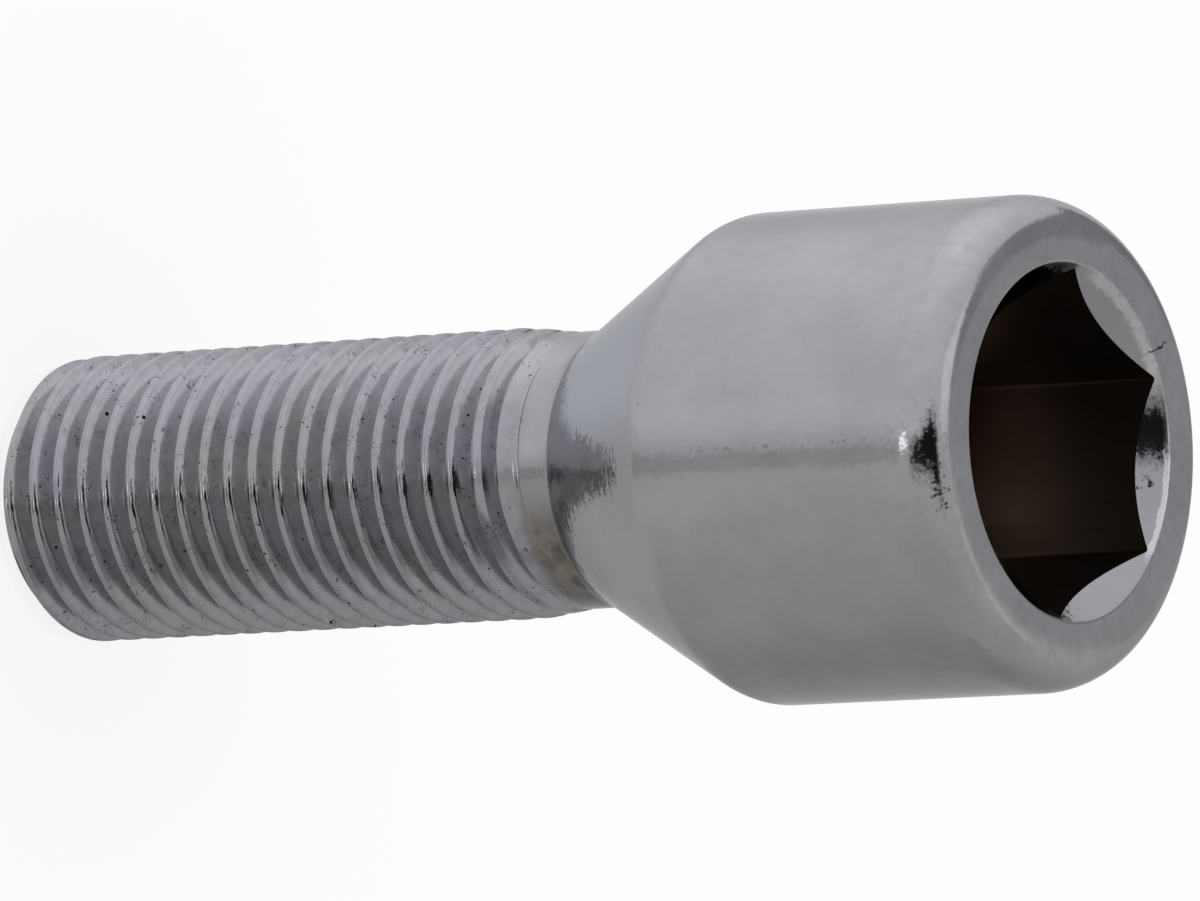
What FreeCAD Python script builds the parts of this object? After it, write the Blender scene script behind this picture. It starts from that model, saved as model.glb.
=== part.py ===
import FreeCAD, Part
import math
import os

# A wheel bolt forged in one piece. Millimetres, +Z up.
# It stands on its tip: the origin is the centre of the tip's flat end, and +Z points to the head.

# Tip: the lead-in chamfer, measured across and along the bolt
tip_chamfer_width = 0.8
tip_chamfer_length = 0.8

# Shank, from the tip to the small end of the seat cone
shank_length = 27.8
# Diameter over the thread's crests
thread_diameter = 11.8
# The rolled thread rises out of the neck over this length
runout_length = 2.4
neck_diameter = 11.2
neck_length = 2.0
root_fillet_radius = 1.2

# Conical seat that centres the wheel: the included angle, and the soft corner where it meets the head's side
seat_angle = 60.0
seat_blend_radius = 1.65

# Head, from the height where its side would meet the cone without the blend
head_diameter = 19.7
head_length = 14.15
# The broad rounding between the head's side and its end face is a quarter ellipse
face_edge_width = 1.35
face_edge_height = 1.9

# Hexagon socket
hex_across_flats = 12.05
hex_corner_radius = 0.2
# Depth of the flats, and the included angle of the punch's point below them
hex_depth = 10.6
punch_point_angle = 140.0
# The countersink reaches this far outside the hexagon's corners
mouth_margin = 0.24
countersink_angle = 100.0
mouth_rim_radius = 0.3

# Weight of a rational curve's middle point that makes it a quarter of an ellipse
QUARTER_WEIGHT = math.sqrt(0.5)
HEX_SIDES = 6

head_radius = head_diameter / 2
neck_radius = neck_diameter / 2
thread_radius = thread_diameter / 2
cone_length = (head_radius - neck_radius) / math.tan(math.radians(seat_angle / 2))
seat_height = shank_length + cone_length
face_height = seat_height + head_length

hex_side_angle = math.tau / HEX_SIDES
hex_inner_radius = hex_across_flats / 2
hex_outer_radius = hex_inner_radius / math.cos(hex_side_angle / 2)
mouth_radius = hex_outer_radius + mouth_margin


def point(radius, height):
    """A point of the half section, in the XZ plane."""
    return FreeCAD.Vector(radius, 0, height)


def line(start, end):
    return Part.LineSegment(start, end).toShape()


def blend(before, corner, after, radius):
    """An arc of the given radius that rounds a corner, with its two ends."""
    back = (before - corner).normalize()
    ahead = (after - corner).normalize()
    half = back.getAngle(ahead) / 2
    start = corner + back * (radius / math.tan(half))
    end = corner + ahead * (radius / math.tan(half))
    inward = (back + ahead).normalize()
    middle = corner + inward * (radius / math.sin(half) - radius)
    return start, Part.Arc(start, middle, end).toShape(), end


def quarter_ellipse(start, corner, end):
    curve = Part.BezierCurve()
    curve.setPoles([start, corner, end])
    curve.setWeight(2, QUARTER_WEIGHT)
    return curve.toShape()


def blank_section():
    """Half section of the bolt without its socket, from the tip's centre up to the face's centre."""
    chamfer_start = point(thread_radius - tip_chamfer_width, 0)
    chamfer_end = point(thread_radius, tip_chamfer_length)
    crest_end = point(thread_radius, shank_length - neck_length - runout_length)
    neck_start = point(neck_radius, shank_length - neck_length)
    root_corner = point(neck_radius, shank_length)
    seat_corner = point(head_radius, seat_height)
    side_end = point(head_radius, face_height - face_edge_height)
    ring_edge = point(head_radius - face_edge_width, face_height)

    neck_end, root_arc, cone_start = blend(neck_start, root_corner, seat_corner, root_fillet_radius)
    cone_end, seat_arc, side_start = blend(root_corner, seat_corner, side_end, seat_blend_radius)
    return Part.Wire([
        line(point(0, 0), chamfer_start),
        line(chamfer_start, chamfer_end),
        line(chamfer_end, crest_end),
        line(crest_end, neck_start),
        line(neck_start, neck_end),
        root_arc,
        line(cone_start, cone_end),
        seat_arc,
        line(side_start, side_end),
        quarter_ellipse(side_end, point(head_radius, face_height), ring_edge),
        line(ring_edge, point(0, face_height)),
        line(point(0, face_height), point(0, 0)),
    ])


def revolve(wire):
    axis = FreeCAD.Vector(0, 0, 1)
    return Part.Face(wire).revolve(FreeCAD.Vector(0, 0, 0), axis, 360)


def hexagon(height):
    """The socket's cross-section at a height, two flats square to X, with its corners rounded."""
    corners = []
    for i in range(HEX_SIDES):
        angle = hex_side_angle * (i + 0.5)
        corners.append(FreeCAD.Vector(math.cos(angle), math.sin(angle), 0) * hex_outer_radius)
    rounded = []
    for i, corner in enumerate(corners):
        rounded.append(blend(corners[i - 1], corner, corners[(i + 1) % HEX_SIDES], hex_corner_radius))
    edges = []
    for i, (start, arc, end) in enumerate(rounded):
        next_start = rounded[(i + 1) % HEX_SIDES][0]
        edges += [arc, line(end, next_start)]
    wire = Part.Wire(edges)
    wire.translate(FreeCAD.Vector(0, 0, height))
    return wire


def punch():
    """The hexagonal punch with its conical point, which stands out of the face by the mouth's radius."""
    top = face_height + mouth_radius
    flats_end = face_height - hex_depth
    apex = flats_end - hex_outer_radius / math.tan(math.radians(punch_point_angle / 2))
    prism = Part.Face(hexagon(apex)).extrude(FreeCAD.Vector(0, 0, top - apex))
    envelope = Part.makePolygon([
        point(0, apex),
        point(hex_outer_radius, flats_end),
        point(mouth_radius, flats_end),
        point(mouth_radius, top),
        point(0, top),
        point(0, apex),
    ])
    return prism.common(revolve(envelope))


def countersink():
    """The cone that opens the mouth, cut on past the flats by the margin so that it ends inside the socket."""
    slope = math.tan(math.radians(countersink_angle / 2))
    inner_radius = hex_inner_radius - mouth_margin
    outer_radius = mouth_radius + mouth_margin * slope
    depth = (mouth_radius - inner_radius) / slope
    base = FreeCAD.Vector(0, 0, face_height - depth)
    return Part.makeCone(inner_radius, outer_radius, depth + mouth_margin, base)


def is_mouth_rim(edge):
    """True for the circle where the countersink meets the face."""
    box = edge.BoundBox
    tolerance = mouth_margin / 10
    level = min(abs(box.ZMin - face_height), abs(box.ZMax - face_height)) < tolerance
    return level and box.ZLength < tolerance and abs(box.XLength / 2 - mouth_radius) < tolerance


def bolt():
    body = revolve(blank_section())
    body = body.cut(punch())
    body = body.cut(countersink())
    rim = [edge for edge in body.Edges if is_mouth_rim(edge)]
    return body.makeFillet(mouth_rim_radius, rim).Solids[0]


def build():
    os.makedirs("parts", exist_ok=True)
    shape = bolt()
    shape.exportStep("parts/bolt.step")
    print("bolt", shape.isValid(), len(shape.Solids), "solid", len(shape.Faces), "faces")
    print("volume", round(shape.Volume, 1), "centre of mass at", round(shape.CenterOfMass.z, 2))
    print("seat from", round(shank_length, 3), "to", round(seat_height, 3), "face at", round(face_height, 3))


build()
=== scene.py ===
import math

import bmesh
import bpy
import numpy as np
from mathutils import Matrix, Vector


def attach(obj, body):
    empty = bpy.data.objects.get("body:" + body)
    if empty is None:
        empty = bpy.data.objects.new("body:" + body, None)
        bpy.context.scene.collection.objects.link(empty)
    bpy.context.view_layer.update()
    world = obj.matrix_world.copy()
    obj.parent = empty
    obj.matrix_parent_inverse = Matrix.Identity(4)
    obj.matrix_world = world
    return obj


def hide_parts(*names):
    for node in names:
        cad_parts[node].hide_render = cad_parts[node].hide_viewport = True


# A plated wheel bolt that stands on its tip, on a white floor.
# The bolt's sizes are in millimetres, from the middle of the tip's flat end, +Z up to the head.
MM = 0.001

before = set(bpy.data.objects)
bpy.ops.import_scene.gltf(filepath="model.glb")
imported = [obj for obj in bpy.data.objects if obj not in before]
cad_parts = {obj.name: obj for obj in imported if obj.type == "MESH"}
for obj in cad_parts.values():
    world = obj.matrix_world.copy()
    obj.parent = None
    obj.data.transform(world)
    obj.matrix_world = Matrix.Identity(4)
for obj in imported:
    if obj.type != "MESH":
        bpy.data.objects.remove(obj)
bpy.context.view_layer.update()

# Tip and shank
TIP_RADIUS = 5.1
TIP_CHAMFER_LENGTH = 0.8
THREAD_RADIUS = 5.9
NECK_RADIUS = 5.6
SHANK_LENGTH = 27.8

# Fine right-handed thread, and the height of a crest at the side that faces +X
THREAD_PITCH = 1.25
THREAD_CREST_HEIGHT = 1.22
THREAD_CREST_FLAT = 0.25
THREAD_ROOT_RADIUS = 0.1
# Angle between a flank and the bolt's axis
FLANK_ANGLE = math.radians(60)
# A rolled crest is two lips of metal that meet in a fine seam
CREST_ROUNDING = 0.045
CREST_SEAM_DEPTH = 0.02
CREST_SEAM_WIDTH = 0.04
# The crests sink to the neck between the first two heights, and the groove rises out from the third
CREST_RUNOUT_START = 23.4
CREST_RUNOUT_END = 25.8
ROOT_RUNOUT_START = 25.2
ROOT_RUNOUT_SLOPE = 0.315
RUNOUT_END = 26.9

# Head, with its conical seat
ROOT_FILLET_RADIUS = 1.2
SEAT_HEIGHT = 35.161
SEAT_BLEND_RADIUS = 1.65
HEAD_RADIUS = 9.85
FACE_HEIGHT = 49.311
FACE_EDGE_WIDTH = 1.35
FACE_EDGE_HEIGHT = 1.9

# Hexagon socket, two of its flats square to X
HEX_SIDES = 6
HEX_INNER_RADIUS = 6.025
HEX_CORNER_RADIUS = 0.2
HEX_DEPTH = 10.6
PUNCH_SLOPE = math.tan(math.radians(20))
MOUTH_RADIUS = 7.12
MOUTH_RIM_RADIUS = 0.2
MOUTH_RIM_TURN = math.radians(40)
COUNTERSINK_SLOPE = math.tan(math.radians(50))

# Columns of the mesh round the axis, with more of them at the socket's corners, in degrees
COLUMN_STEP = 2.0
CORNER_COLUMNS = (-0.9, -0.6, -0.3, 0.3, 0.6, 0.9)

# Edges that turn more than this are shaded sharp
SHARP_ANGLE = math.radians(40)

# Turns of the thread's rows that start below the tip, and turns more than the shank has in all
TURNS_BELOW = 2
SPARE_TURNS = 3

# Height of the ring between the thread and the root fillet
NECK_RING_HEIGHT = 27.2

# Other rings of the mesh: steps on the rounded corners, and places between corners as parts of the way
GROOVE_PARTS = (0.52, 0.76, 0.88)
TIP_PART = 0.6
ROOT_STEPS = 6
CONE_PARTS = (0.15, 0.35, 0.55, 0.75)
SEAT_STEPS = 8
SIDE_PARTS = (0.25, 0.5, 0.75)
EDGE_STEPS = 16
FACE_PARTS = (0.33, 0.66)
RIM_STEPS = 6
COUNTERSINK_STEPS = 7
WALL_STEPS = 9
BOTTOM_STEPS = 6
BOTTOM_PART = 0.9

# Material slots of the mesh
PLATING = 0
SOCKET_SKIN = 1

# Camera: it lies on its side, so that the standing bolt lies across the picture
CAMERA_AIM = Vector((-0.720, 0.256, 26.595)) * MM
CAMERA_DISTANCE = 545.49 * MM
CAMERA_CLIP_START = 10.0 * MM
CAMERA_BEARING = math.radians(-109.57)
CAMERA_ELEVATION = math.radians(35.504)
CAMERA_ROLL = math.radians(-86.583)
CAMERA_LENS = 406.14
CAMERA_SENSOR = 36.0

# Colours of the plating: linear red, green, blue and alpha
METAL = (0.442, 0.434, 0.452, 1)
METAL_PALE = (0.478, 0.473, 0.493, 1)
METAL_GRAIN = (0.3, 0.3, 0.31, 1)
METAL_EDGE_TINT = (0.75, 0.75, 0.75, 1)
THREAD_WARM = (0.43, 0.43, 0.42, 1)
THREAD_BLUE = (0.42, 0.428, 0.475, 1)
THREAD_MOTTLE = (0.25, 0.245, 0.25, 1)
# Painted reflections on the flanks: lighter on the upper ones, shade on the lower ones
FLANK_PAINTED_LIGHT = (0.60, 0.60, 0.615, 1)
FLANK_PAINTED_SHADE = (0.17, 0.17, 0.175, 1)
# Painted shade on the neck's lower side and in the root fillet
NECK_PAINTED_SHADE = (0.17, 0.165, 0.165, 1)
FILLET_PAINTED_SHADE = (0.10, 0.095, 0.095, 1)
RUST_LIGHT = (0.34, 0.295, 0.225, 1)
RUST_DARK = (0.08, 0.065, 0.045, 1)
CONE_FOOT_DARK = (0.19, 0.175, 0.17, 1)
CONE_BLUE = (0.455, 0.475, 0.515, 1)
EDGE_BLOTCH = (0.36, 0.345, 0.335, 1)
FACE_BLOTCH = (0.28, 0.28, 0.29, 1)
MOUTH_METAL = (0.385, 0.38, 0.395, 1)
# Painted highlight on the mouth's rim and the end face's outer border
PAINTED_HIGHLIGHT = (0.66, 0.66, 0.675, 1)
LUNE_DARK = (0.06, 0.055, 0.055, 1)
DIRT = (0.02, 0.018, 0.016, 1)
DIRT_ROUGHNESS = 0.6

# Sides of the bolt with a look of their own, as directions from its axis
WORN_SIDE = (-0.85, -0.53, 0)
DARK_LUNE_SIDE = (-1, 0, 0)
CROWN_SIDE = (-0.391, -0.921, 0)

# Colours of the socket's inside, each from dark to light streaks
SOCKET_DEEP = ((0.27, 0.215, 0.185, 1), (0.36, 0.295, 0.255, 1))
SOCKET_NEAR = ((0.12, 0.105, 0.09, 1), (0.17, 0.15, 0.13, 1))
SOCKET_ROUGHNESS = 0.3

# Surroundings, with sizes in metres and the lamp's power in watts
WHITE = (1, 1, 1, 1)
COOL_WHITE = (0.985, 0.985, 1.03, 1)
FLOOR_HALF_WIDTH = 8.0
FLOOR_LEVEL = -0.01 * MM
FLOOR_COLOUR = (0.8, 0.8, 0.8, 1)
FLOOR_ROUGHNESS = 0.9
FLOOR_GLOW_PART = 0.85
LAMP_SIZE = 1.0
LAMP_HEIGHT = 1.5
LAMP_POWER = 14.0


# Camera
def camera_axes():
    """Right, up and backward directions of the camera, in the bolt's frame."""
    level = math.cos(CAMERA_ELEVATION)
    backward = Vector((
        level * math.cos(CAMERA_BEARING),
        level * math.sin(CAMERA_BEARING),
        math.sin(CAMERA_ELEVATION),
    ))
    level_right = Vector((0, 0, 1)).cross(backward).normalized()
    level_up = backward.cross(level_right)
    up = level_up * math.cos(CAMERA_ROLL) + level_right * math.sin(CAMERA_ROLL)
    return up.cross(backward), up, backward


def add_camera():
    right, up, backward = camera_axes()
    data = bpy.data.cameras.new("camera")
    data.lens = CAMERA_LENS
    data.sensor_width = CAMERA_SENSOR
    data.clip_start = CAMERA_CLIP_START
    camera = bpy.data.objects.new("camera", data)
    turn = Matrix((right, up, backward)).transposed().to_4x4()
    camera.matrix_world = Matrix.Translation(CAMERA_AIM + backward * CAMERA_DISTANCE) @ turn
    bpy.context.collection.objects.link(camera)
    bpy.context.scene.camera = camera


# Outlines of the bolt
def column_angles():
    """Angles of the mesh's columns, in radians."""
    angles = list(np.arange(0, 360, COLUMN_STEP))
    for side in range(HEX_SIDES):
        corner = (side + 0.5) * 360 / HEX_SIDES
        angles += [corner + step for step in CORNER_COLUMNS]
    return np.radians(sorted(angles))


def hexagon_radius(angles):
    """Distance of the socket's wall from the axis, at each angle."""
    side = math.tau / HEX_SIDES
    off = np.abs((angles + side / 2) % side - side / 2)
    flat = HEX_INNER_RADIUS / np.cos(off)
    centre = (HEX_INNER_RADIUS - HEX_CORNER_RADIUS) / math.cos(side / 2)
    from_corner = side / 2 - off
    across = centre * np.sin(from_corner)
    inside = np.maximum(HEX_CORNER_RADIUS ** 2 - across ** 2, 0)
    rounded = centre * np.cos(from_corner) + np.sqrt(inside)
    at_corner = across < HEX_CORNER_RADIUS * math.sin(side / 2)
    return np.where(at_corner, rounded, flat)


def thread_depth(distance):
    """Depth of the thread below its crests, at a distance along the bolt from a crest's middle."""
    crest_edge = THREAD_CREST_FLAT / 2
    flank = (distance - crest_edge) * math.tan(FLANK_ANGLE)
    soft = (flank + np.sqrt(flank ** 2 + CREST_ROUNDING ** 2)) / 2
    half_root = THREAD_ROOT_RADIUS * math.sin(FLANK_ANGLE)
    root_start = THREAD_PITCH / 2 - half_root
    bottom = (root_start - crest_edge) * math.tan(FLANK_ANGLE) + THREAD_ROOT_RADIUS * math.cos(FLANK_ANGLE)
    across = np.minimum(THREAD_PITCH / 2 - distance, half_root)
    arc = bottom - THREAD_ROOT_RADIUS + np.sqrt(THREAD_ROOT_RADIUS ** 2 - across ** 2)
    root = np.where(distance > root_start, arc, bottom)
    seam = CREST_SEAM_DEPTH * np.clip(1 - distance / CREST_SEAM_WIDTH, 0, 1)
    return np.minimum(soft, root) + seam


def thread_samples():
    """Distances along the bolt from a crest's middle at which one pitch of thread is sampled."""
    edge = THREAD_CREST_FLAT / 2
    root = THREAD_PITCH / 2
    half = [CREST_SEAM_WIDTH, edge - CREST_ROUNDING, edge, edge + CREST_ROUNDING, edge + 2 * CREST_ROUNDING]
    half += [root * part for part in GROOVE_PARTS]
    return sorted([-step for step in half] + [0] + half + [root])


def thread_radius(height, angles):
    """Radius of the threaded shank at each height and angle."""
    turned = height - THREAD_CREST_HEIGHT - THREAD_PITCH * angles / math.tau
    distance = np.abs((turned + THREAD_PITCH / 2) % THREAD_PITCH - THREAD_PITCH / 2)
    rise = np.maximum(height - ROOT_RUNOUT_START, 0) * ROOT_RUNOUT_SLOPE
    groove = THREAD_RADIUS - thread_depth(distance) + rise
    crest_part = np.clip((CREST_RUNOUT_END - height) / (CREST_RUNOUT_END - CREST_RUNOUT_START), 0, 1)
    crest = NECK_RADIUS + (THREAD_RADIUS - NECK_RADIUS) * crest_part
    chamfer = TIP_RADIUS + (THREAD_RADIUS - TIP_RADIUS) * height / TIP_CHAMFER_LENGTH
    return np.minimum(np.minimum(groove, crest), chamfer)


def arc_points(start, corner, end, steps):
    """Points of the round arc that turns a corner between its two tangent ends."""
    start, corner, end = Vector(start), Vector(corner), Vector(end)
    turn = (start - corner).normalized().angle((end - corner).normalized())
    weight = math.sin(turn / 2)
    points = []
    for i in range(steps + 1):
        part = i / steps
        near, middle, far = (1 - part) ** 2, 2 * part * (1 - part) * weight, part ** 2
        points.append(tuple((start * near + corner * middle + end * far) / (near + middle + far)))
    return points


def blended(before, corner, after, radius, steps):
    """An arc of the given radius that rounds a corner of the profile."""
    before, corner, after = Vector(before), Vector(corner), Vector(after)
    back = (before - corner).normalized()
    ahead = (after - corner).normalized()
    reach = radius / math.tan(back.angle(ahead) / 2)
    return arc_points(corner + back * reach, corner, corner + ahead * reach, steps)


def between(start, end, parts):
    """Points part of the way along a straight line."""
    return [tuple(Vector(start).lerp(Vector(end), part)) for part in parts]


def head_profile():
    """Radius and height down the neck's end, cone, head, rounded edge and face, up to the mouth."""
    neck = (NECK_RADIUS, RUNOUT_END)
    root = (NECK_RADIUS, SHANK_LENGTH)
    seat = (HEAD_RADIUS, SEAT_HEIGHT)
    side_end = (HEAD_RADIUS, FACE_HEIGHT - FACE_EDGE_HEIGHT)
    ring_edge = (HEAD_RADIUS - FACE_EDGE_WIDTH, FACE_HEIGHT)
    mouth = (MOUTH_RADIUS, FACE_HEIGHT)
    inside = (MOUTH_RADIUS - COUNTERSINK_SLOPE, FACE_HEIGHT - 1)
    points = [(NECK_RADIUS, NECK_RING_HEIGHT)]
    points += blended(neck, root, seat, ROOT_FILLET_RADIUS, ROOT_STEPS)
    points += between(points[-1], seat, CONE_PARTS)
    points += blended(root, seat, side_end, SEAT_BLEND_RADIUS, SEAT_STEPS)
    points += between(points[-1], side_end, SIDE_PARTS)
    points += arc_points(side_end, (HEAD_RADIUS, FACE_HEIGHT), ring_edge, EDGE_STEPS)
    points += between(ring_edge, mouth, FACE_PARTS)
    points += blended(ring_edge, mouth, inside, MOUTH_RIM_RADIUS, RIM_STEPS)
    return points


# Mesh of the bolt
class Surface:
    """A mesh made ring by ring round the Z axis. Each ring has a point at every column's angle."""

    def __init__(self, angles):
        self.angles = angles
        self.points = []
        self.faces = []
        self.materials = []
        self.last = None

    def ring(self, radius, height):
        """The indices of new points at the given radius and height, each a number or an array."""
        radius = radius + np.zeros_like(self.angles)
        height = height + np.zeros_like(self.angles)
        first = len(self.points)
        self.points += zip(radius * np.cos(self.angles), radius * np.sin(self.angles), height)
        return np.arange(first, len(self.points))

    def face(self, corners, material):
        """A face from corners that may repeat, left out where fewer than three are left."""
        kept = [c for i, c in enumerate(corners) if c != corners[i - 1]]
        if len(kept) > 2:
            self.faces.append(kept)
            self.materials.append(material)

    def join(self, below, above, material=PLATING):
        """A band of faces between two rings."""
        for i in range(len(below)):
            k = (i + 1) % len(below)
            self.face([below[i], below[k], above[k], above[i]], material)

    def add(self, radius, height, material=PLATING):
        """A new ring joined to the last one."""
        ring = self.ring(radius, height)
        self.join(self.last, ring, material)
        self.last = ring

    def close(self, height, material):
        """A fan of faces from the last ring to a point on the axis."""
        tip = len(self.points)
        self.points.append((0, 0, height))
        for i, corner in enumerate(self.last):
            self.face([corner, self.last[(i + 1) % len(self.last)], tip], material)

    def open(self, ring, height):
        """A fan of faces from a point on the axis out to a ring, facing down."""
        tip = len(self.points)
        self.points.append((0, 0, height))
        for i, corner in enumerate(ring):
            self.face([ring[(i + 1) % len(ring)], corner, tip], PLATING)


def add_thread(surface):
    """Rows that follow the helix from the tip to the neck, cut off level at both ends."""
    angles = surface.angles
    samples = thread_samples()
    turns = range(-TURNS_BELOW, math.ceil(RUNOUT_END / THREAD_PITCH) + SPARE_TURNS - TURNS_BELOW)
    starts = [THREAD_CREST_HEIGHT + THREAD_PITCH * turn + step for turn in turns for step in samples]
    bottom = surface.ring(thread_radius(np.zeros_like(angles), angles), 0)
    top = surface.ring(thread_radius(np.full_like(angles, RUNOUT_END), angles), RUNOUT_END)
    rows = []
    for start in starts:
        height = np.clip(start + THREAD_PITCH * angles / math.tau, 0, RUNOUT_END)
        row = surface.ring(thread_radius(height, angles), height)
        row = np.where(height <= 0, bottom, row)
        rows.append(np.where(height >= RUNOUT_END, top, row))
    add_thread_faces(surface, rows, len(samples))
    return bottom, top


def add_thread_faces(surface, rows, rows_per_turn):
    """Faces between the rows. Past the last column, a row goes on as the one a turn higher."""
    columns = len(surface.angles)
    for i in range(len(rows) - 1 - rows_per_turn):
        for k in range(columns):
            if k < columns - 1:
                corners = [rows[i][k], rows[i][k + 1], rows[i + 1][k + 1], rows[i + 1][k]]
            else:
                turned = i + rows_per_turn
                corners = [rows[i][k], rows[turned][0], rows[turned + 1][0], rows[i + 1][k]]
            surface.face(corners, PLATING)


def add_tip(surface, rim):
    """The flat end below the thread."""
    inner = surface.ring(TIP_RADIUS * TIP_PART, 0)
    surface.join(inner, rim)
    surface.open(inner, 0)


def add_socket(surface):
    """The countersink down to the flats, the flats, and the cone that the punch left."""
    wall = hexagon_radius(surface.angles)
    rim_height = FACE_HEIGHT - MOUTH_RIM_RADIUS * (1 - math.cos(MOUTH_RIM_TURN))
    rim_radius = MOUTH_RADIUS - (FACE_HEIGHT - rim_height) * COUNTERSINK_SLOPE
    edge_height = FACE_HEIGHT - (MOUTH_RADIUS - wall) / COUNTERSINK_SLOPE
    for part in np.linspace(0, 1, COUNTERSINK_STEPS + 1)[1:]:
        radius = rim_radius + (wall - rim_radius) * part
        surface.add(radius, rim_height + (edge_height - rim_height) * part)
    outer = HEX_INNER_RADIUS / math.cos(math.pi / HEX_SIDES)
    foot = FACE_HEIGHT - HEX_DEPTH - (outer - wall) * PUNCH_SLOPE
    for part in np.linspace(0, 1, WALL_STEPS + 1)[1:]:
        surface.add(wall, edge_height + (foot - edge_height) * part, SOCKET_SKIN)
    apex = FACE_HEIGHT - HEX_DEPTH - outer * PUNCH_SLOPE
    for part in np.linspace(0, BOTTOM_PART, BOTTOM_STEPS + 1)[1:]:
        surface.add(wall * (1 - part), foot + (apex - foot) * part, SOCKET_SKIN)
    surface.close(apex, SOCKET_SKIN)


def bolt_mesh():
    surface = Surface(column_angles())
    tip_rim, neck_ring = add_thread(surface)
    add_tip(surface, tip_rim)
    surface.last = neck_ring
    for radius, height in head_profile():
        surface.add(radius, height)
    add_socket(surface)
    return to_mesh("wheel_bolt", surface)


def to_mesh(name, surface):
    mesh = bpy.data.meshes.new(name)
    points = np.array(surface.points) * MM
    mesh.from_pydata(points.tolist(), [], [[int(c) for c in face] for face in surface.faces])
    mesh.polygons.foreach_set("material_index", surface.materials)
    drop_loose_points(mesh)
    mesh.shade_smooth()
    mesh.set_sharp_from_angle(angle=SHARP_ANGLE)
    mesh.update()
    return mesh


def drop_loose_points(mesh):
    """Takes out the points of rows that were cut off at the thread's ends."""
    work = bmesh.new()
    work.from_mesh(mesh)
    loose = [point for point in work.verts if not point.link_faces]
    bmesh.ops.delete(work, geom=loose, context="VERTS")
    work.to_mesh(mesh)
    work.free()


# Node trees
class Graph:
    """A short way to build a node tree: each call adds a node and gives the socket that leaves it."""

    def __init__(self, tree):
        self.tree = tree

    def node(self, kind, inputs=(), **settings):
        node = self.tree.nodes.new(kind)
        for name, value in settings.items():
            setattr(node, name, value)
        for name, value in dict(inputs).items():
            self.put(value, node.inputs[name])
        return node

    def put(self, value, socket):
        if isinstance(value, bpy.types.NodeSocket):
            self.tree.links.new(value, socket)
        else:
            socket.default_value = value

    def math(self, operation, first, second=0.0):
        inputs = {0: first, 1: second}
        return self.node("ShaderNodeMath", inputs, operation=operation).outputs[0]

    def times(self, first, second):
        return self.math("MULTIPLY", first, second)

    def plus(self, first, second):
        return self.math("ADD", first, second)

    def minus(self, first, second):
        return self.math("SUBTRACT", first, second)

    def largest(self, first, *others):
        for other in others:
            first = self.math("MAXIMUM", first, other)
        return first

    def vector(self, operation, first, second=(0, 0, 0)):
        inputs = {0: first, 1: second}
        return self.node("ShaderNodeVectorMath", inputs, operation=operation).outputs["Vector"]

    def scaled(self, vector, factor):
        node = self.node("ShaderNodeVectorMath", {0: vector, "Scale": factor}, operation="SCALE")
        return node.outputs["Vector"]

    def dot(self, first, second):
        node = self.node("ShaderNodeVectorMath", {0: first, 1: second}, operation="DOT_PRODUCT")
        return node.outputs["Value"]

    def ramp(self, value, low, high, at_low=0.0, at_high=1.0):
        """A soft step of a value from one level to another."""
        inputs = {"Value": value, "From Min": low, "From Max": high, "To Min": at_low, "To Max": at_high}
        node = self.node("ShaderNodeMapRange", inputs, interpolation_type="SMOOTHSTEP")
        return node.outputs["Result"]

    def below(self, value, low, high, level=1.0):
        """A level under a soft step, nought over it."""
        return self.ramp(value, low, high, level, 0.0)

    def band(self, value, low, high, soft, level=1.0):
        """A level between two limits, nought outside them."""
        up = self.ramp(value, low - soft, low + soft, 0.0, level)
        return self.times(up, self.below(value, high - soft, high + soft))

    def noise(self, vector, scale, detail=3.0, roughness=0.55):
        inputs = {"Vector": vector, "Scale": scale, "Detail": detail, "Roughness": roughness}
        return self.node("ShaderNodeTexNoise", inputs).outputs[0]

    def mix(self, part, first, second):
        """A colour part of the way from one to another."""
        node = self.node("ShaderNodeMix", data_type="RGBA")
        self.put(part, node.inputs["Factor"])
        colours = [socket for socket in node.inputs if socket.type == "RGBA"]
        self.put(first, colours[0])
        self.put(second, colours[1])
        return [socket for socket in node.outputs if socket.type == "RGBA"][0]

    def between(self, part, first, second):
        """A number part of the way from one to another."""
        node = self.node("ShaderNodeMix", {0: part, 2: first, 3: second}, data_type="FLOAT")
        return node.outputs[0]

    def slope(self, vector, scale, amount, detail=2.0):
        """A wandering slope of up to about the given amount either way."""
        level = self.minus(self.noise(vector, scale, detail), 0.5)
        return self.times(level, self.times(amount, 4.0))


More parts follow.
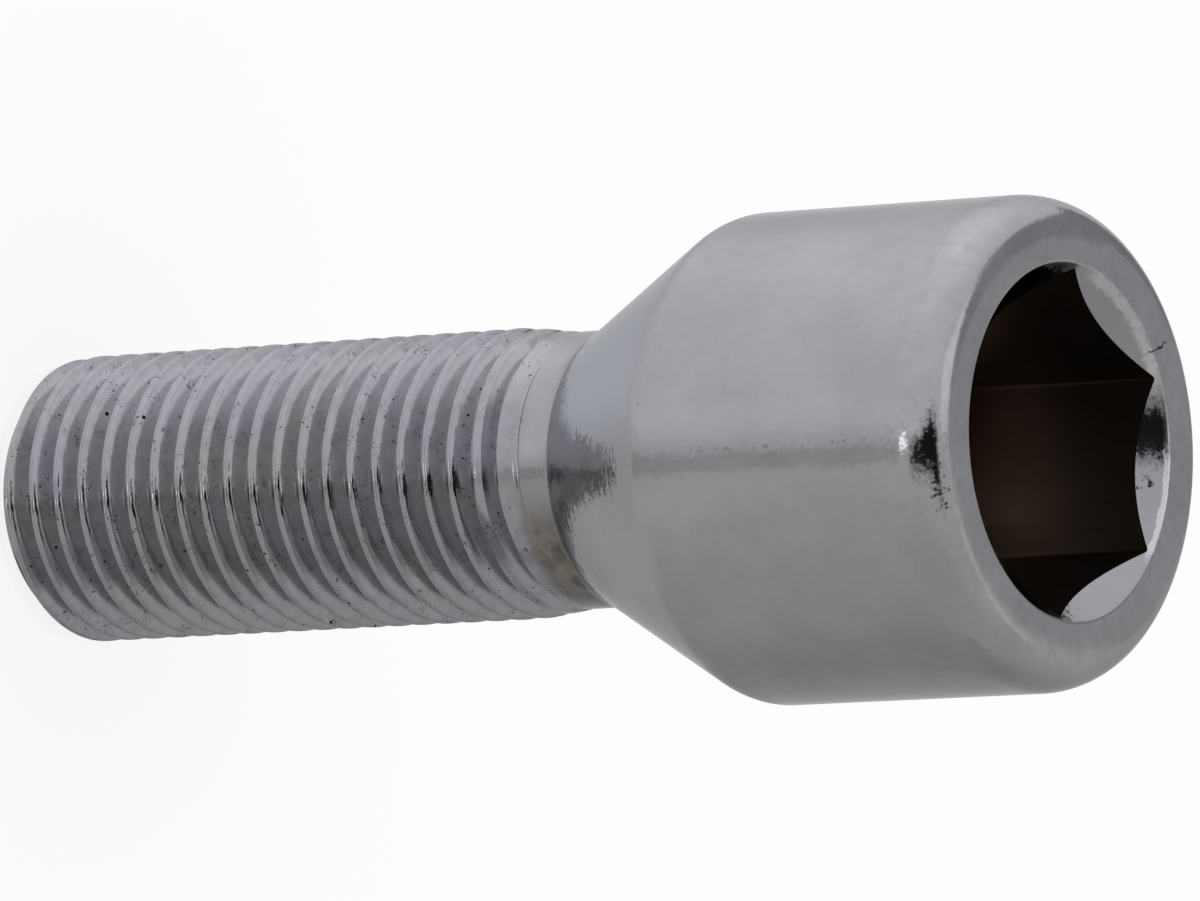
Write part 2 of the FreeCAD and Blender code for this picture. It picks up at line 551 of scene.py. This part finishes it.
class Skin(Graph):
    """The nodes of a metal on the bolt, with each point's place in millimetres and its angle in degrees."""

    def __init__(self, name):
        self.material = bpy.data.materials.new(name)
        self.material.use_nodes = True
        super().__init__(self.material.node_tree)
        self.shader = self.tree.nodes["Principled BSDF"]
        self.shader.inputs["Metallic"].default_value = 1.0
        coordinates = self.node("ShaderNodeTexCoord").outputs["Object"]
        self.place = self.stretched(coordinates, 1 / MM, 1 / MM)
        parts = self.node("ShaderNodeSeparateXYZ", {0: self.place}).outputs
        self.x = parts[0]
        self.y = parts[1]
        self.height = parts[2]
        squares = self.plus(self.times(self.x, self.x), self.times(self.y, self.y))
        self.radius = self.math("SQRT", squares)
        self.angle = self.math("DEGREES", self.math("ARCTAN2", self.y, self.x))

    def stretched(self, vector, across, along):
        """A vector with one scale across the bolt and another along it."""
        return self.vector("MULTIPLY", vector, (across, across, along))

    def shifted(self, x, y, z):
        """The place, moved so that a texture shows another part of itself."""
        return self.vector("ADD", self.place, (x, y, z))

    def toward(self, direction, low, high):
        """From nought to one as the side of the bolt turns to a direction, by the cosine between them."""
        return self.ramp(self.math("DIVIDE", self.dot(self.place, direction), self.radius), low, high)

    def tipped_normal(self, around, along, outward=0.0):
        """The surface's normal, tipped by slopes round the bolt, along it and away from its axis."""
        normal = self.node("ShaderNodeNewGeometry").outputs["Normal"]
        way_round = self.vector("NORMALIZE", self.vector("CROSS_PRODUCT", (0, 0, 1), self.place))
        way_out = self.vector("CROSS_PRODUCT", way_round, (0, 0, 1))
        lifted = self.node("ShaderNodeCombineXYZ", {"Z": along}).outputs[0]
        total = self.vector("ADD", normal, self.scaled(way_round, around))
        total = self.vector("ADD", total, lifted)
        total = self.vector("ADD", total, self.scaled(way_out, outward))
        return self.vector("NORMALIZE", total)

    def pits(self, per_mm, share, size):
        """Small round pits: in a share of the cells of a scatter, up to the given radius in millimetres."""
        node = self.node("ShaderNodeTexVoronoi", {"Vector": self.place, "Scale": per_mm})
        chance = self.node("ShaderNodeSeparateColor", {0: node.outputs["Color"]}).outputs
        chosen = self.math("LESS_THAN", chance[0], share)
        reach = self.times(self.plus(self.times(chance[1], 0.6), 0.4), size * per_mm)
        inside = self.minus(reach, node.outputs["Distance"])
        return self.times(chosen, self.ramp(inside, 0.0, 0.25 * size * per_mm))


# Plating. Upper and lower sides are as in the photograph, where -X is up
def plating():
    """Bright plating on forged and rolled steel, pitted on the thread, with a rust stain at the neck."""
    skin = Skin("plating")
    clouds = skin.ramp(skin.noise(skin.place, 0.3), 0.36, 0.64)
    on_thread = skin.below(skin.height, 26.2, 27.0)
    dirt = skin.largest(plating_pits(skin, on_thread), flecks(skin))
    colour = skin.mix(clouds, METAL, METAL_PALE)
    grain = skin.ramp(skin.noise(skin.place, 2.2, 4.0, 0.65), 0.4, 0.7, at_high=0.10)
    colour = thread_colour(skin, skin.mix(grain, colour, METAL_GRAIN), on_thread)
    for paint in (face_colour, cone_colour, neck_colour, mouth_colour):
        colour = paint(skin, colour)
    roughness = plating_roughness(skin, clouds, on_thread)
    skin.put(skin.mix(dirt, colour, DIRT), skin.shader.inputs["Base Color"])
    skin.put(skin.between(dirt, roughness, DIRT_ROUGHNESS), skin.shader.inputs["Roughness"])
    skin.put(plating_normal(skin), skin.shader.inputs["Normal"])
    skin.shader.inputs["Specular Tint"].default_value = METAL_EDGE_TINT
    return skin.material


def thread_colour(skin, colour, on_thread):
    """Warm and blue clouds, a mottle, and painted light and shade on the upper and lower flanks."""
    clouds = skin.ramp(skin.noise(skin.place, 0.3, 2.0), 0.35, 0.65)
    colour = skin.mix(skin.times(on_thread, 0.7), colour, skin.mix(clouds, THREAD_WARM, THREAD_BLUE))
    mottle = skin.ramp(skin.noise(skin.place, 1.6, 4.0, 0.65), 0.38, 0.72, at_high=0.30)
    colour = skin.mix(skin.times(on_thread, mottle), colour, THREAD_MOTTLE)
    on_flank = skin.times(on_thread, skin.below(skin.radius, 5.5, 5.84))
    # Painted reflection: the upper flanks are lighter
    upper_flank_painted_light = skin.times(on_flank, skin.below(skin.angle, -158.0, -135.0, level=0.5))
    colour = skin.mix(upper_flank_painted_light, colour, FLANK_PAINTED_LIGHT)
    # Painted shade on the tops of the flanks at the thread's lower side
    return skin.mix(skin.times(on_thread, lower_flank_painted_shade(skin)), colour, FLANK_PAINTED_SHADE)


def lower_flank_painted_shade(skin):
    """Painted shade on the top of the flanks on the thread's lower side, and more of them the lower they are.
    """
    depth = skin.ramp(skin.angle, -106.0, -66.0, 5.80, 5.58)
    over_depth = skin.ramp(skin.minus(skin.radius, depth), -0.03, 0.02)
    under_crest = skin.below(skin.radius, 5.85, 5.88)
    shaded_lower_side = skin.band(skin.angle, -104.0, -72.0, soft=7.0, level=0.8)
    return skin.times(skin.times(over_depth, under_crest), shaded_lower_side)


def face_colour(skin, colour):
    """Faint blotches on the end face."""
    on_face = skin.ramp(skin.height, FACE_HEIGHT - 0.3, FACE_HEIGHT - 0.05, at_high=0.20)
    blotches = skin.ramp(skin.noise(skin.place, 1.8, 4.0, 0.6), 0.4, 0.65)
    return skin.mix(skin.times(on_face, blotches), colour, FACE_BLOTCH)


def cone_colour(skin, colour):
    """Darker on the lower side of the cone's foot, and blue on the cone's upper side."""
    foot = skin.band(skin.height, 28.9, 30.6, soft=0.9, level=0.35)
    darker_foot = skin.times(skin.band(skin.angle, -75.0, -25.0, soft=25.0), foot)
    colour = skin.mix(darker_foot, colour, CONE_FOOT_DARK)
    lower_cone = skin.band(skin.height, 28.9, 34.2, soft=0.8, level=0.8)
    return skin.mix(skin.times(skin.below(skin.angle, -125.0, -112.0), lower_cone), colour, CONE_BLUE)


def neck_colour(skin, colour):
    """Painted shade on its lower side and in the fillet, and brown where it has begun to rust."""
    # Painted shade on the neck's lower side
    shaded_lower_side = skin.ramp(skin.angle, -122.0, -75.0, at_high=0.65)
    shaded_lower_side = skin.times(shaded_lower_side, skin.below(skin.angle, -10.0, 15.0))
    on_neck = skin.band(skin.height, 26.3, 28.4, soft=0.3)
    colour = skin.mix(skin.times(shaded_lower_side, on_neck), colour, NECK_PAINTED_SHADE)
    # Painted shade in the root fillet, on its lower side
    in_fillet = skin.band(skin.height, 27.45, 28.35, soft=0.3, level=0.6)
    shaded_side = skin.band(skin.angle, -90.0, -30.0, soft=12.0)
    colour = skin.mix(skin.times(shaded_side, in_fillet), colour, FILLET_PAINTED_SHADE)
    light_rust, dark_rust = rust_patches(skin)
    colour = skin.mix(skin.times(light_rust, 0.65), colour, RUST_LIGHT)
    return skin.mix(skin.times(dark_rust, 0.4), colour, RUST_DARK)


def rust_patches(skin):
    """Patches of light and of dark rust on the neck, at the side between -Y and +X."""
    rusty_side = skin.band(skin.angle, -90.0, -44.0, soft=8.0)
    patch = skin.times(rusty_side, skin.band(skin.height, 26.4, 28.6, soft=0.4))
    light = skin.times(patch, skin.ramp(skin.noise(skin.place, 1.1, 4.0), 0.42, 0.62))
    dark = skin.times(patch, skin.ramp(skin.noise(skin.shifted(7, 2, 5), 1.3, 4.0), 0.46, 0.64))
    return light, dark


def mouth_colour(skin, colour):
    """Blotches on the head's edge, the countersink, painted highlights at its rim and the face's border, and
    a dark lune.
    """
    blotches = skin.ramp(skin.noise(skin.place, 1.4, 5.0, 0.7), 0.42, 0.68, at_high=0.35)
    blotches = skin.times(skin.toward(WORN_SIDE, 0.2, 0.7), blotches)
    blotches = skin.times(blotches, skin.band(skin.height, 47.3, 49.2, soft=0.4))
    colour = skin.mix(blotches, colour, EDGE_BLOTCH)
    colour = skin.mix(in_mouth(skin), colour, MOUTH_METAL)
    # Painted highlights on the rim and the end face's border
    colour = skin.mix(painted_rim_highlights(skin), colour, PAINTED_HIGHLIGHT)
    return skin.mix(in_dark_lune(skin), colour, LUNE_DARK)


def in_mouth(skin):
    """One on the countersink of the socket."""
    return skin.times(skin.ramp(skin.height, 47.9, 48.1), skin.below(skin.radius, 7.05, 7.15))


def in_dark_lune(skin):
    """One on the part of the countersink above the flat at -X, which is painted nearly black."""
    return skin.times(skin.toward(DARK_LUNE_SIDE, 0.84, 0.88), in_mouth(skin))


def painted_rim_highlights(skin):
    """Painted highlights: ragged bright lines on the mouth's rim and at the end face's outer border."""
    ragged = skin.plus(skin.radius, skin.slope(skin.place, 1.8, 0.06, detail=4.0))
    streaky = skin.plus(skin.radius, skin.slope(skin.place, 4.0, 0.11, detail=4.0))
    upper_arc = skin.band(skin.angle, 88.0, 140.0, soft=6.0, level=0.8)
    right_arc = skin.band(skin.angle, 28.0, 74.0, soft=4.0)
    outer_arc = skin.band(skin.angle, -95.0, -45.0, soft=8.0, level=0.45)
    upper = skin.times(skin.band(streaky, 6.80, 7.12, soft=0.10), upper_arc)
    right = skin.times(skin.band(ragged, 6.93, 7.12, soft=0.03), right_arc)
    outer = skin.times(skin.band(streaky, 8.42, 8.62, soft=0.09), outer_arc)
    return skin.times(skin.largest(upper, right, outer), skin.ramp(skin.height, 48.5, 48.7))


def plating_roughness(skin, clouds, on_thread):
    """Nearly a mirror, duller in clouds, on the head's side, the flanks, the neck and the end face."""
    on_side = skin.times(skin.band(skin.height, 35.3, 47.2, soft=0.5), 0.02)
    roughness = skin.plus(on_side, skin.plus(skin.times(clouds, 0.06), 0.045))
    on_flank = skin.times(on_thread, skin.below(skin.radius, 5.55, 5.88, level=0.13))
    on_neck = skin.band(skin.height, 26.8, 28.3, soft=0.3, level=0.06)
    roughness = skin.plus(roughness, skin.plus(on_flank, on_neck))
    on_face = skin.ramp(skin.height, FACE_HEIGHT - 0.2, FACE_HEIGHT - 0.02, at_high=0.10)
    return skin.plus(roughness, on_face)


def plating_normal(skin):
    """Ring marks on the cone and the crests, dents at the head's edge and a faint crown on the end face."""
    ringed = skin.stretched(skin.place, 1.3, 16.0)
    on_cone = skin.times(skin.ramp(skin.height, 27.6, 28.4), skin.below(skin.height, 35.0, 36.0))
    on_crest = skin.times(skin.ramp(skin.radius, 5.68, 5.80), skin.below(skin.height, 25.5, 26.5))
    marks = skin.plus(skin.plus(skin.times(on_cone, 0.010), skin.times(on_crest, 0.09)), 0.007)
    dents = skin.plus(edge_dents(skin), 0.010)
    around = skin.plus(skin.slope(skin.place, 4.5, dents, detail=3.0), skin.slope(skin.place, 0.7, 0.008))
    around = skin.plus(around, skin.slope(ringed, 1.0, marks))
    around = skin.plus(around, cone_scratches(skin))
    drawn = skin.stretched(skin.place, 4.0, 0.35)
    on_side = skin.band(skin.height, 35.5, 47.0, soft=0.5, level=0.008)
    around = skin.plus(around, skin.plus(skin.slope(skin.place, 9.0, 0.011), skin.slope(drawn, 1.0, on_side)))
    shifted = skin.shifted(3, 5, 7)
    on_shank = skin.below(skin.height, 25.5, 26.5, level=0.03)
    along = skin.plus(skin.slope(shifted, 4.5, dents, detail=3.0), skin.slope(ringed, 1.2, marks))
    along = skin.plus(along, skin.slope(shifted, 0.9, on_shank))
    along = skin.plus(along, skin.times(in_dark_lune(skin), -0.2))
    return skin.tipped_normal(around, along, face_crown(skin))


def edge_dents(skin):
    """How uneven the surface is: most at the head's edge, toward -X and -Y, and in the mouth."""
    at_edge = skin.times(skin.ramp(skin.height, 46.6, 47.0), skin.ramp(skin.radius, 8.35, 8.6))
    share = skin.times(skin.toward(WORN_SIDE, -0.3, 0.7), 0.018)
    lowest_lune = skin.band(skin.angle, -32.0, -6.0, soft=6.0, level=0.05)
    mouth_dents = skin.times(in_mouth(skin), skin.plus(lowest_lune, 0.022))
    return skin.plus(skin.times(at_edge, skin.plus(share, 0.006)), mouth_dents)


def cone_scratches(skin):
    """Slopes of the sparse turning marks at the foot of the cone."""
    marks = skin.noise(skin.stretched(skin.place, 1.6, 7.0), 1.0, 1.0)
    return skin.times(skin.ramp(marks, 0.58, 0.68), skin.band(skin.height, 28.3, 31.6, soft=0.5, level=0.07))


def face_crown(skin):
    """Outward slope of the end face's outer part, on the side toward -Y."""
    on_face = skin.ramp(skin.height, FACE_HEIGHT - 0.9, FACE_HEIGHT - 0.1)
    crown = skin.times(skin.ramp(skin.radius, 7.7, 8.6, at_high=0.16), skin.below(skin.radius, 8.5, 9.3))
    return skin.times(crown, skin.times(on_face, skin.toward(CROWN_SIDE, -0.55, 0.0)))


def plating_pits(skin, on_thread):
    """Dark pits, many on the thread and few on the head, and thin scars in clusters on the thread."""
    large = skin.pits(per_mm=1.5, share=0.14, size=0.11)
    small = skin.pits(per_mm=3.2, share=0.22, size=0.055)
    rare = skin.pits(per_mm=0.9, share=0.16, size=0.055)
    clusters = skin.ramp(skin.noise(skin.place, 0.9, 2.0), 0.54, 0.60)
    ridge = skin.math("ABSOLUTE", skin.minus(skin.noise(skin.place, 3.4, 1.0), 0.5))
    scars = skin.times(clusters, skin.below(ridge, 0.006, 0.014, level=0.8))
    return skin.largest(skin.times(on_thread, skin.largest(large, small, scars)), rare)


def flecks(skin):
    """Ragged dark flecks at the head's edge and side and in the mouth, and a nick across the end face."""
    ragged = skin.ramp(skin.noise(skin.place, 3.5, 4.0, 0.65), 0.55, 0.62)
    at_edge = skin.band(skin.angle, -107.0, -94.0, soft=2.0)
    at_edge = skin.times(at_edge, skin.band(skin.radius, 8.75, 9.4, soft=0.1))
    at_edge = skin.times(at_edge, skin.ramp(skin.height, 48.7, 48.8))
    on_side = skin.band(skin.angle, -113.4, -112.0, soft=0.7)
    on_side = skin.times(on_side, skin.band(skin.height, 36.0, 47.0, soft=0.5, level=0.3))
    in_lune = skin.band(skin.angle, 46.0, 56.0, soft=2.0)
    in_lune = skin.times(in_lune, skin.band(skin.height, 48.2, 48.9, soft=0.1))
    in_lune = skin.times(in_lune, in_mouth(skin))
    return skin.largest(skin.times(ragged, skin.largest(on_side, at_edge, in_lune)), nick(skin))


def nick(skin):
    """A crooked line across the end face, from the mouth's rim outward."""
    wandering = skin.plus(skin.x, skin.slope(skin.place, 2.5, 0.12))
    line = skin.times(skin.band(wandering, -1.09, -1.01, soft=0.03), skin.band(skin.y, 6.9, 8.1, soft=0.2))
    return skin.times(line, skin.ramp(skin.height, 48.5, 48.9))


def socket_skin():
    """The inside of the socket, where the plating is thin and dark, and darkest near the mouth."""
    skin = Skin("socket_skin")
    drawn = skin.stretched(skin.place, 3.0, 0.25)
    streaks = skin.noise(drawn, 1.0)
    near_mouth = skin.ramp(skin.height, 41.5, 46.5)
    colour = skin.mix(near_mouth, skin.mix(streaks, *SOCKET_DEEP), skin.mix(streaks, *SOCKET_NEAR))
    skin.put(colour, skin.shader.inputs["Base Color"])
    skin.put(skin.tipped_normal(skin.slope(drawn, 1.0, 0.03), 0.0), skin.shader.inputs["Normal"])
    skin.shader.inputs["Roughness"].default_value = SOCKET_ROUGHNESS
    return skin.material


# Surroundings
def add_world():
    """White to the camera. The metal mirrors the photographer's room, which doesn't turn with the view."""
    world = bpy.data.worlds.new("studio")
    world.use_nodes = True
    bpy.context.scene.world = world
    graph = Graph(world.node_tree)
    right, up, backward = camera_axes()
    direction = graph.node("ShaderNodeTexCoord").outputs["Generated"]
    rise = graph.math("DEGREES", graph.math("ARCSINE", graph.dot(direction, up)))
    bearing = graph.math("ARCTAN2", graph.dot(direction, right), graph.dot(direction, backward))
    level = room_level(graph, rise, graph.math("DEGREES", bearing))
    tint = graph.mix(graph.ramp(rise, -5.0, 10.0), WHITE, COOL_WHITE)
    seen = graph.node("ShaderNodeLightPath").outputs["Is Camera Ray"]
    background = world.node_tree.nodes["Background"]
    graph.put(graph.mix(seen, tint, WHITE), background.inputs["Color"])
    graph.put(graph.between(seen, level, 1.0), background.inputs["Strength"])


def room_level(graph, rise, bearing):
    """How bright the room is, by degrees up from the picture's level line and round from its near side."""
    level = wall_level(graph, rise, bearing)
    level = with_panels(graph, rise, bearing, level)
    level = with_dark_gap(graph, rise, bearing, level)
    strip_side = graph.band(bearing, -51.0, -37.0, soft=2.0)
    lit_strip = graph.times(graph.band(rise, -1.5, 4.0, soft=1.5), strip_side)
    return graph.between(lit_strip, level, 2.0)


def wall_level(graph, rise, bearing):
    """The room without what stands in it: dark below, pale above, and more of both at its far side."""
    level = graph.ramp(rise, -60.0, -10.0, 0.46, 0.57)
    level = graph.plus(level, graph.ramp(rise, -2.0, 14.0, at_high=0.20))
    level = graph.plus(level, graph.ramp(rise, 20.0, 85.0, at_high=0.22))
    far_side = graph.ramp(graph.math("ABSOLUTE", bearing), 95.0, 178.0)
    level = graph.plus(level, graph.times(far_side, graph.below(rise, -60.0, -10.0, level=-0.10)))
    return graph.plus(level, graph.times(far_side, graph.ramp(rise, 10.0, 60.0, at_high=0.14)))


def with_panels(graph, rise, bearing, level):
    """A darker line at the left, and a pale panel and two dark ones at the right."""
    left_side = graph.band(bearing, -110.0, -55.0, soft=6.0)
    left_line = graph.times(graph.band(rise, -6.5, 0.5, soft=0.7), left_side)
    level = graph.times(level, graph.between(left_line, 1.0, 0.78))
    pale_panel = graph.times(graph.band(rise, 7.0, 25.0, soft=3.0), graph.band(bearing, 52.0, 84.0, soft=4.0))
    level = graph.between(pale_panel, level, 1.02)
    right_side = graph.band(bearing, 87.0, 152.0, soft=4.0)
    level = graph.between(graph.times(right_side, graph.band(rise, -3.0, 7.0, soft=3.0)), level, 0.45)
    return graph.between(graph.times(right_side, graph.band(rise, 7.0, 32.0, soft=1.5)), level, 0.34)


def with_dark_gap(graph, rise, bearing, level):
    """A nearly black gap at the near side, wider toward the right, with soft shade round it."""
    rising = graph.plus(graph.times(bearing, 0.12), 0.5)
    falling = graph.plus(graph.times(bearing, -0.30), 9.3)
    middle = graph.math("MINIMUM", rising, falling)
    middle = graph.plus(middle, graph.below(bearing, -25.0, 15.0, level=-1.2))
    half_width = graph.math("MINIMUM", graph.plus(graph.times(bearing, 0.12), 5.5), 9.0)
    off = graph.minus(graph.math("ABSOLUTE", graph.minus(rise, middle)), half_width)
    near_side = graph.band(bearing, -33.0, 40.0, soft=6.0)
    shade = graph.times(graph.below(off, 0.0, 9.0), near_side)
    level = graph.times(level, graph.between(shade, 1.0, 0.5))
    gap = graph.times(graph.below(off, -1.5, 1.5), near_side)
    return graph.between(gap, level, 0.015)


def add_floor():
    mesh = bpy.data.meshes.new("floor")
    corners = [(x, y, FLOOR_LEVEL) for x, y in ((-1, -1), (1, -1), (1, 1), (-1, 1))]
    corners = [(x * FLOOR_HALF_WIDTH, y * FLOOR_HALF_WIDTH, z) for x, y, z in corners]
    mesh.from_pydata(corners, [], [(0, 1, 2, 3)])
    floor = bpy.data.objects.new("floor", mesh)
    bpy.context.collection.objects.link(floor)
    mesh.materials.append(floor_paint())
    floor.visible_glossy = False


def floor_paint():
    """White paper. To the camera it is lit nearly white all over, and keeps a faint shadow."""
    material = bpy.data.materials.new("floor_paint")
    material.use_nodes = True
    graph = Graph(material.node_tree)
    shader = graph.tree.nodes["Principled BSDF"]
    shader.inputs["Base Color"].default_value = FLOOR_COLOUR
    shader.inputs["Roughness"].default_value = FLOOR_ROUGHNESS
    glow = graph.node("ShaderNodeEmission", {"Strength": 1.0}).outputs[0]
    seen = graph.node("ShaderNodeLightPath").outputs["Is Camera Ray"]
    inputs = {0: graph.times(seen, FLOOR_GLOW_PART), 1: shader.outputs[0], 2: glow}
    mixed = graph.node("ShaderNodeMixShader", inputs).outputs[0]
    graph.put(mixed, graph.tree.nodes["Material Output"].inputs["Surface"])
    return material


def add_lamp():
    data = bpy.data.lights.new("lamp", "AREA")
    data.size = LAMP_SIZE
    data.energy = LAMP_POWER
    lamp = bpy.data.objects.new("lamp", data)
    lamp.location = (0, 0, LAMP_HEIGHT)
    lamp.visible_glossy = False
    lamp.visible_camera = False
    bpy.context.collection.objects.link(lamp)


def add_bolt():
    mesh = bolt_mesh()
    mesh.materials.append(plating())
    mesh.materials.append(socket_skin())
    bolt = bpy.data.objects.new("wheel_bolt", mesh)
    bpy.context.collection.objects.link(bolt)
    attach(bolt, "root")
    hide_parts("bolt")


bpy.context.scene.view_settings.view_transform = "Standard"
add_camera()
add_world()
add_floor()
add_lamp()
add_bolt()
